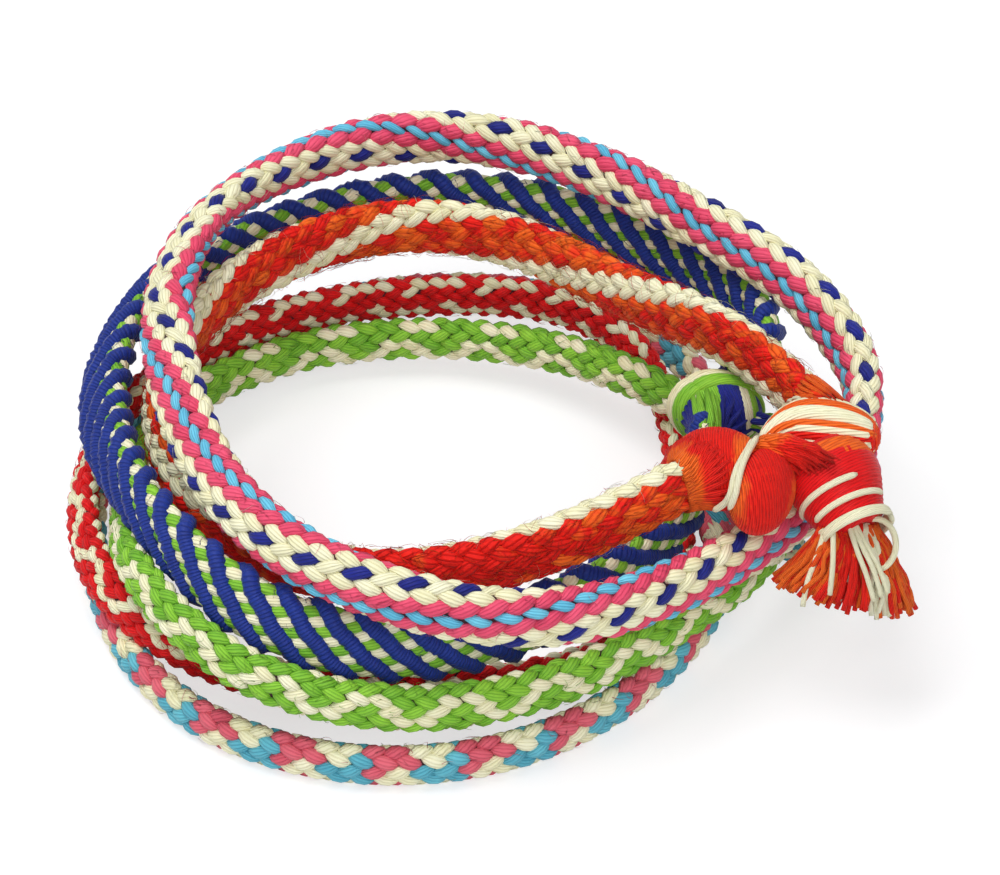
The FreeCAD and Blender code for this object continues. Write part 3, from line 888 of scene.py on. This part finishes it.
class ClosureSettings(bpy.types.PropertyGroup):
    """Sizes of the whipping and the tassel of the orange bracelet."""

    whip_turns: bpy.props.IntProperty(
        name="Whipping turns", description="Turns of red floss round the barrel",
        default=16, min=3, max=60)
    thread: bpy.props.FloatProperty(
        name="Thread", description="Radius of the cream thread",
        default=0.00034, min=0.0001, max=0.002, precision=5, subtype="DISTANCE", unit="LENGTH")
    tassel_strands: bpy.props.IntProperty(
        name="Tassel strands", description="Number of cut strands in the tassel",
        default=360, min=10, max=600)


class StageSettings(bpy.types.PropertyGroup):
    """The camera, the lamps and the floor."""

    elevation: bpy.props.FloatProperty(
        name="Elevation", description="Angle of the camera over the floor",
        default=math.radians(40), min=0.0, max=1.57, subtype="ANGLE", unit="ROTATION")
    distance: bpy.props.FloatProperty(
        name="Distance", description="From the camera to the middle of the pile",
        default=0.42, min=0.05, max=5.0, subtype="DISTANCE", unit="LENGTH")
    lens: bpy.props.FloatProperty(
        name="Lens", description="Focal length of the camera",
        default=168.0, min=10.0, max=500.0, unit="CAMERA")
    key_power: bpy.props.FloatProperty(
        name="Key lamp", description="Power of the large lamp over the pile",
        default=1.6, min=0.0, max=100.0, unit="POWER")
    fill_power: bpy.props.FloatProperty(
        name="Fill lamp", description="Power of the lamp beside the camera",
        default=1.3, min=0.0, max=100.0, unit="POWER")
    sky: bpy.props.FloatProperty(
        name="Sky", description="Strength of the even light from all round",
        default=0.36, min=0.0, max=10.0, subtype="FACTOR")
    floor_colour: bpy.props.FloatVectorProperty(
        name="Floor colour", description="Colour of the pale floor",
        default=(0.9, 0.9, 0.92), min=0.0, max=1.0, size=3, subtype="COLOR")


def aim(thing, target):
    """Turn a lamp or camera to look at a point."""
    way = Vector(target) - thing.location
    thing.rotation_euler = way.to_track_quat("-Z", "Y").to_euler()


def add_lamp(name, place, target, size, power):
    """A soft square lamp."""
    light = bpy.data.lights.new(name, "AREA")
    light.size = size
    light.energy = power
    lamp = add_object(name, light)
    lamp.location = place
    aim(lamp, target)


def floor_material(colour):
    """Pale paper that keeps its shadows, lifted to white where the camera sees it."""
    material = bpy.data.materials.new("pale_floor")
    material.use_nodes = True
    tree = material.node_tree
    tree.nodes.clear()
    seen = add_node(tree, "LightPath").outputs["Is Camera Ray"]
    shade = mix_colour(tree, seen, (*colour, 1.0), (*(0.5 * c for c in colour), 1.0))
    paper = add_node(tree, "BsdfDiffuse", {"Color": shade}).outputs[0]
    glow = calculate(tree, "MULTIPLY", seen, 0.62)
    lift = add_node(tree, "Emission", {"Strength": glow}).outputs[0]
    both = add_node(tree, "AddShader", {0: paper, 1: lift}).outputs[0]
    add_node(tree, "OutputMaterial", {"Surface": both})
    return material


def studio_world(strength):
    """Even light from all round, and plain white where the camera sees it."""
    world = bpy.data.worlds.new("studio")
    world.use_nodes = True
    tree = world.node_tree
    tree.nodes.clear()
    even, white = (add_node(tree, "Background", {"Color": WHITE, "Strength": light}).outputs[0]
                   for light in (strength, 1.0))
    rays = add_node(tree, "LightPath").outputs
    seen = calculate(tree, "MAXIMUM", rays["Is Camera Ray"], rays["Is Glossy Ray"])
    seen = calculate(tree, "MAXIMUM", seen, rays["Is Transmission Ray"])
    mix = add_node(tree, "MixShader", {0: seen, 1: even, 2: white}).outputs[0]
    add_node(tree, "OutputWorld", {"Surface": mix})
    return world


class BRACELETS_OT_stage(bpy.types.Operator):
    """Set the camera, the soft lamps and the pale floor"""

    bl_idname = "bracelets.stage"
    bl_label = "Stage"

    def execute(self, context):
        stage = context.scene.bracelet_stage
        target = Vector((0.0015, 0.001, 0.01))
        data = bpy.data.cameras.new("camera")
        data.lens = stage.lens
        data.sensor_width = 36.0
        data.sensor_fit = "HORIZONTAL"
        data.clip_start = 0.01
        camera = add_object("camera", data)
        back = Vector((0, -math.cos(stage.elevation), math.sin(stage.elevation)))
        camera.location = target + back * stage.distance
        aim(camera, target)
        context.scene.camera = camera
        context.scene.view_settings.view_transform = "Standard"
        context.scene.world = studio_world(stage.sky)
        add_lamp("key_lamp", (-0.16, 0.02, 0.5), target, 0.3, stage.key_power)
        add_lamp("fill_lamp", (0.1, -0.45, 0.4), target, 0.4, stage.fill_power)
        bm = bmesh.new()
        bmesh.ops.create_grid(bm, x_segments=1, y_segments=1, size=1.5)
        floor = add_object("floor", finish_mesh(bm, "floor"))
        floor.data.materials.append(floor_material(stage.floor_colour))
        return {"FINISHED"}


class BRACELETS_OT_chart_bracelet(bpy.types.Operator):
    """Braid one bracelet from its chart, with its knot and its cut ends"""

    bl_idname = "bracelets.chart_bracelet"
    bl_label = "Chart bracelet"

    which: bpy.props.EnumProperty(
        name="Bracelet", description="The bracelet to braid", default="check",
        items=[("check", "Check", "Sky, rose and cream checks"),
               ("red", "Red", "Cream wave on red"), ("green", "Green", "Cream zigzag on green"),
               ("pink", "Pink", "Pink and sky with cream and navy chains")])

    def execute(self, context):
        settings = context.scene.bracelet_braid
        bracelet = self.which
        band = Band(bracelet, settings.skin)
        braid = add_floss(bracelet, "braid", [
            braid_core(band, "d"), chart_puffs(band, bracelet, settings, len(bracelet)),
            *chart_fuzz(band, bracelet, FUZZ[bracelet], FUZZ_LENGTH)])
        knot, tail = add_knot(bracelet, band), add_tail(bracelet)
        if bracelet in ("check", "red"):
            for piece in (braid, knot, tail):
                rest_on_floor(piece)
        return {"FINISHED"}


class BRACELETS_OT_navy_bracelet(bpy.types.Operator):
    """Braid the navy bracelet: wound ridges with small green and cream stitches between"""

    bl_idname = "bracelets.navy_bracelet"
    bl_label = "Navy bracelet"

    def execute(self, context):
        skin, bead_size, ring, spacing, edge = 0.0005, 0.0008, 0.0003, 0.00104, 0.001
        band = Band("navy", skin)
        starts = np.arange(4)
        advance = context.scene.bracelet_braid.ridge_pitch * len(starts)
        parts = [braid_core(band, "d")]
        dice = np.random.default_rng(5)
        along = np.arange(bead_size, band.length - bead_size, ring)
        travel = along * math.hypot(1, band.girth / advance)
        for start in starts:
            turn = along / advance + start / len(starts)
            bead = np.abs(np.sin(math.pi * travel / bead_size + 0.9 * np.sin(travel * 700 + start)))
            line = band.bend(along, turn + 0.008 * np.sin(travel * 1900), 0.0001 + 0.0001 * bead)
            parts.append(strand(line, 0.00068 + 0.00014 * bead, "w", 0.6))
        step = spacing / (band.girth * math.hypot(1, advance / band.girth))
        index = np.arange(int(band.length / (step * advance)))
        along = index * step * advance
        index = index[(along > edge) & (along < band.length - edge)]
        turn, slots = np.hstack([
            (index * step + (start + 0.5) / len(starts),
             np.where((index + start) % 2, SLOT["c"], SLOT["g"])) for start in starts])
        along = np.tile(index * step * advance, len(starts))
        total = len(along)
        parts.append(place_puffs(band, along, turn, slots, dice.uniform(0.2, 1.0, total),
                                 np.zeros(total), length=0.0027, width=0.00118, height=0.0005,
                                 lean=dice.normal(-0.25, 0.06, total), sink=0.0003))
        parts.append(add_fuzz(band, starts / len(starts), "n", 500, 0.0012, 11, 0.6))
        add_floss("navy", "braid", parts)
        add_knot("navy", band)
        add_tail("navy")
        return {"FINISHED"}


class BRACELETS_OT_orange_braid(bpy.types.Operator):
    """Braid the fluffy red and orange band with its cream chains"""

    bl_idname = "bracelets.orange_braid"
    bl_label = "Orange braid"

    def execute(self, context):
        settings = context.scene.bracelet_braid
        band = Band("orange", settings.skin)
        braid = add_floss("orange", "braid", [
            braid_core(band, "o"), chart_puffs(band, "orange", settings, 6),
            *chart_fuzz(band, "orange", {"o": settings.fuzz, "c": 250}, 0.0019)])
        return {"FINISHED"}


# The ovals of the orange closure: centre, turn, length, depth and height.
ORANGE_OVALS = {
    "knot": ((20.4, -15.2, 20.2), -25, 8.8, 7.2, 6.8),
    "hitch": ((23.9, -17.9, 19.8), -20, 5.6, 8.0, 7.4),
    "crown": ((29.3, -10.9, 20.4), -8, 10.4, 6.4, 6.4),
}
# How orange the knot and the hitch are, from one end to the other.
KNOT_DYES = [0.9, 0.8, 0.7, 0.0, 0.0, 0.0, 0.1, 0.8, 0.9, 0.8, 0.5]
HITCH_DYES = [0.9, 0.6, 0.1, 0.0, 0.1, 0.5, 0.8]
# Where the strands of the crown are pinched, and where those of the hitch's lock run, in
# millimetres: from the pinch over a bow down to the barrel.
CROWN_PINCH = (23.6, -13.4, 20.8)
LOCK = ((23.5, -14.7, 22.5), (28.6, -17.2, 21.3))
LOCK_BOW = (25.6, -16.0, 23.8)
# Where two cream strands run from the pinch down between the knot and the hitch, in millimetres.
PINCH_STRANDS = [
    [(23.2, -14.6, 22.9), (22.5, -16.6, 23.2), (21.7, -18.2, 22.9), (21.3, -19.4, 22.4),
     (21.1, -20.3, 21.5), (20.5, -19.9, 19.9), (19.6, -19.2, 18.7)],
    [(23.6, -14.3, 23.0), (22.9, -16.3, 23.5), (22.1, -18.3, 23.3), (21.7, -19.8, 22.6),
     (21.4, -20.8, 21.4), (20.9, -20.4, 19.8)],
]
# Cream strands in front of the tassel, in millimetres.
TASSEL_STRANDS = [
    [(29.9, -20.4, 18.4), (29.9, -22.3, 17.2), (29.8, -23.8, 15.7), (29.6, -24.5, 13.6)],
    [(29.2, -20.6, 17.6), (28.4, -22.4, 15.7), (27.6, -23.8, 14.7), (27.3, -25.2, 12.8)],
    [(31.6, -20.0, 18.0), (32.4, -21.7, 16.8), (33.6, -23.3, 15.2), (34.1, -24.3, 13.2)],
    [(31.3, -20.2, 18.0), (31.9, -22.0, 16.8), (32.9, -23.5, 14.9), (33.5, -24.6, 12.9)],
    [(31.8, -19.9, 18.0), (32.8, -21.4, 16.7), (34.1, -23.0, 15.1), (34.7, -24.1, 13.4)],
]


class BRACELETS_OT_orange_wraps(bpy.types.Operator):
    """Tie the orange braid's ends: the knot, the hitch and the crown of loose strands"""

    bl_idname = "bracelets.orange_wraps"
    bl_label = "Orange wraps"

    def execute(self, context):
        band = Band("orange", context.scene.bracelet_braid.skin)
        knot, hitch, crown = (Oval(*shape) for shape in ORANGE_OVALS.values())
        parts = knot.winding((1, 0.12, 0.1), "o" * 34, KNOT_DYES, 31)
        parts += knot.throat(band, True, "o" * 44, (0.9, -0.6), 84, 34, 0.0004)
        add_floss("orange", "knot", parts)
        parts = hitch.winding((1, 0.6, -0.2), "o" * 28, HITCH_DYES, 32)
        parts += routed_strands(PINCH_STRANDS, 0.0003, False)
        share = np.linspace(0, 1, BUNDLE_RINGS)
        taper = 0.00042 * np.interp(share, [0, 0.15, 0.5, 1], [0.7, 1, 1, 0.12])
        # The lock's strands take light tones, painted light that offsets the shade they cast on
        # each other.
        parts += bundle(*LOCK, 2.9, 70, taper,
                        lambda index, offset, dice: ("o", 0.9 - dice.uniform(1.0, 1.8) * share),
                        36, bow=LOCK_BOW, root=0.3, cut=(0.8, 1.1), flat=0.22, tones=(0.6, 1.2))
        add_floss("orange", "hitch", parts)
        dice = np.random.default_rng(33)
        letters = "ooocooccococcocoooooooooooooo"
        parts = [crown.heart(0.0007)]
        for index, letter in enumerate(letters):
            side = 20 + index * 360 / len(letters) + dice.normal(0, 3)
            radius = 0.00058 if letter == "c" else 0.0005
            parts.append(crown.meridian(side, 0.04, dice.uniform(0.86, 0.95),
                                        radius * dice.uniform(0.8, 1.1), letter,
                                        dice.uniform(0.4, 1.0), dice.choice([0.1, 0.9]),
                                        np.array(CROWN_PINCH) / MM))
        for latitude in (64, 75, 84):
            parts.append(crown.wrap((1, 0, 0), latitude, 0.00056, "o", 0.6, 0.3))
        parts += crown.throat(band, False, "ooccc" + "o" * 24 + "ccc", (0.9, 0.3), 56, 35, 0.0004)
        add_floss("orange", "crown", parts)
        return {"FINISHED"}


def whip(radius, letter, tone, dye, flat, ends, radii, turns, low=0.0, high=1.0, per_turn=26):
    """A strand wound round the barrel, whose radius follows a list from end to end."""
    start, end = np.array(ends) / MM
    axis = unit(end - start)
    side = unit(np.cross(axis, [0, 0, 1.0]))
    over = np.cross(axis, side)
    share = np.linspace(low, high, int(turns * per_turn * (high - low)) + 2)
    angle = (2 * math.pi * turns * share)[:, None]
    reach = np.interp(share, np.linspace(0, 1, len(radii)), radii)[:, None] / MM
    away = side * np.cos(angle) + over * np.sin(angle)
    return strand(start + (end - start) * share[:, None] + reach * away, radius, letter, tone,
                  dye=dye, flat=flat, over=away)


# The barrel: the middle of its ends, its radii from end to end, and the middle of the neck.
BARREL_ENDS = ((29.2, -13.0, 20.1), (31.7, -18.8, 17.3))
BARREL = [2.2, 3.1, 3.6, 3.82, 3.85, 3.8, 3.65, 3.4, 3.15, 2.9, 2.75]
NECK = (32.4, -20.4, 16.5)
# The loose loop of thread: its middle in millimetres, and its half width and height in metres.
LOOP_MIDDLE = (33.6, -20.5, 16.1)
LOOP_HALF = (0.0018, 0.0022)


class BRACELETS_OT_whipping(bpy.types.Operator):
    """Wind the red whipping, the cream binding and its loose loop"""

    bl_idname = "bracelets.whipping"
    bl_label = "Whipping"

    def execute(self, context):
        closure = context.scene.bracelet_closure
        turns = closure.whip_turns
        # The upper three tenths of the red whipping are wound in orange yarn as a painted
        # highlight.
        parts = [whip(0.00052, "o", 0.7, 0.9, 0.5, BARREL_ENDS, BARREL, turns, 0.0, 0.3),
                 whip(0.00052, "r", 0.6, 0.5, 0.5, BARREL_ENDS, BARREL, turns, 0.29, 1.0),
                 # A thick strand in a dark tone fills the barrel under the windings, painted shade
                 # between the turns.
                 whip(0.0013, "r", 0.1, 0.5, 1.0, BARREL_ENDS, [r - 1.3 for r in BARREL], 7)]
        outer = [r + 0.28 for r in BARREL]
        for low, high in ((0.636, 0.677), (0.842, 0.888)):
            parts.append(whip(0.00032, "c", 1.0, 0.5, 0.7, BARREL_ENDS, outer, 9, low, high, 60))
        add_floss("orange", "whipping", parts)
        binding = whip(closure.thread, "c", 0.8, 0.5, 0.8, (BARREL_ENDS[1], NECK),
                       [3.1, 3.2, 3.1], 6, 0.16, 0.6, 30)
        add_piece("cream_binding_thread", [binding], "orange_bracelet",
                  "cream_binding")
        across = np.array([1.0, 0.0, 0.0])
        upward = np.cross(unit(np.array([0.0, -0.766, 0.643])), across)
        angle = np.radians(np.linspace(-80, 110, 26))[:, None]
        loop = (np.array(LOOP_MIDDLE) / MM + across * LOOP_HALF[0] * np.cos(angle)
                + upward * LOOP_HALF[1] * np.sin(angle))
        add_piece("cream_loop_thread", [strand(loop, 0.00028, "c", 0.8)], "orange_bracelet",
                  "cream_thread_loop")
        return {"FINISHED"}


def tassel_letter(index, offset, dice):
    """Cream strands to the right, red ones in the middle and orange ones all round."""
    across = offset[0]
    if 0.3 < across < 0.62 and dice.random() < 0.85 or dice.random() < 0.04:
        return "c", 0.5
    return "o", 0.0 if abs(across) < 0.35 and dice.random() < 0.6 else dice.uniform(0.2, 0.9)


class BRACELETS_OT_tassel(bpy.types.Operator):
    """Hang the tassel of cut strands from the binding"""

    bl_idname = "bracelets.tassel"
    bl_label = "Tassel"

    def execute(self, context):
        # The tassel's strands take the lightest tones, painted light that offsets the shade of the
        # barrel above and of each other.
        parts = bundle((31.6, -18.6, 17.4), (31.0, -21.8, 11.4), 6.7,
                       context.scene.bracelet_closure.tassel_strands, 0.00023, tassel_letter, 21,
                       bow=(32.3, -20.7, 15.3), root=0.34, cut=(0.84, 1.06), flat=0.5,
                       tones=(0.9, 1.4))
        add_floss("orange", "tassel", parts + routed_strands(TASSEL_STRANDS, 0.00024, True))
        return {"FINISHED"}


class BRACELETS_PT_panel(bpy.types.Panel):
    """Sizes of the bracelets and the buttons that make them"""

    bl_idname = "BRACELETS_PT_panel"
    bl_label = "Bracelets"
    bl_space_type = "VIEW_3D"
    bl_region_type = "UI"
    bl_category = "Bracelets"

    def draw(self, context):
        scene = context.scene
        for group in (scene.bracelet_braid, scene.bracelet_closure, scene.bracelet_stage):
            column = self.layout.column()
            for name in group.__annotations__:
                column.prop(group, name)
        for operator in OPERATORS:
            self.layout.operator(operator.bl_idname)


OPERATORS = (BRACELETS_OT_stage, BRACELETS_OT_chart_bracelet, BRACELETS_OT_navy_bracelet,
             BRACELETS_OT_orange_braid, BRACELETS_OT_orange_wraps, BRACELETS_OT_whipping,
             BRACELETS_OT_tassel)
CLASSES = (BraidSettings, ClosureSettings, StageSettings, *OPERATORS, BRACELETS_PT_panel)


def register():
    """Register the classes and hang the settings on the scene."""
    for cls in CLASSES:
        bpy.utils.register_class(cls)
    bpy.types.Scene.bracelet_braid = bpy.props.PointerProperty(type=BraidSettings)
    bpy.types.Scene.bracelet_closure = bpy.props.PointerProperty(type=ClosureSettings)
    bpy.types.Scene.bracelet_stage = bpy.props.PointerProperty(type=StageSettings)


def unregister():
    """Undo what register did."""
    del bpy.types.Scene.bracelet_stage
    del bpy.types.Scene.bracelet_closure
    del bpy.types.Scene.bracelet_braid
    for cls in reversed(CLASSES):
        bpy.utils.unregister_class(cls)


def remove_seeds():
    """Remove the unit tubes, which are in no piece."""
    for mesh in TUBES.values():
        bpy.data.meshes.remove(mesh)
    TUBES.clear()


def main():
    """Make the stage and every piece in turn."""
    register()
    bpy.ops.bracelets.stage()
    for bracelet in ("check", "red", "green", "pink"):
        bpy.ops.bracelets.chart_bracelet(which=bracelet)
    bpy.ops.bracelets.navy_bracelet()
    bpy.ops.bracelets.orange_braid()
    bpy.ops.bracelets.orange_wraps()
    bpy.ops.bracelets.whipping()
    bpy.ops.bracelets.tassel()
    remove_seeds()


if __name__ == "__main__":
    main()
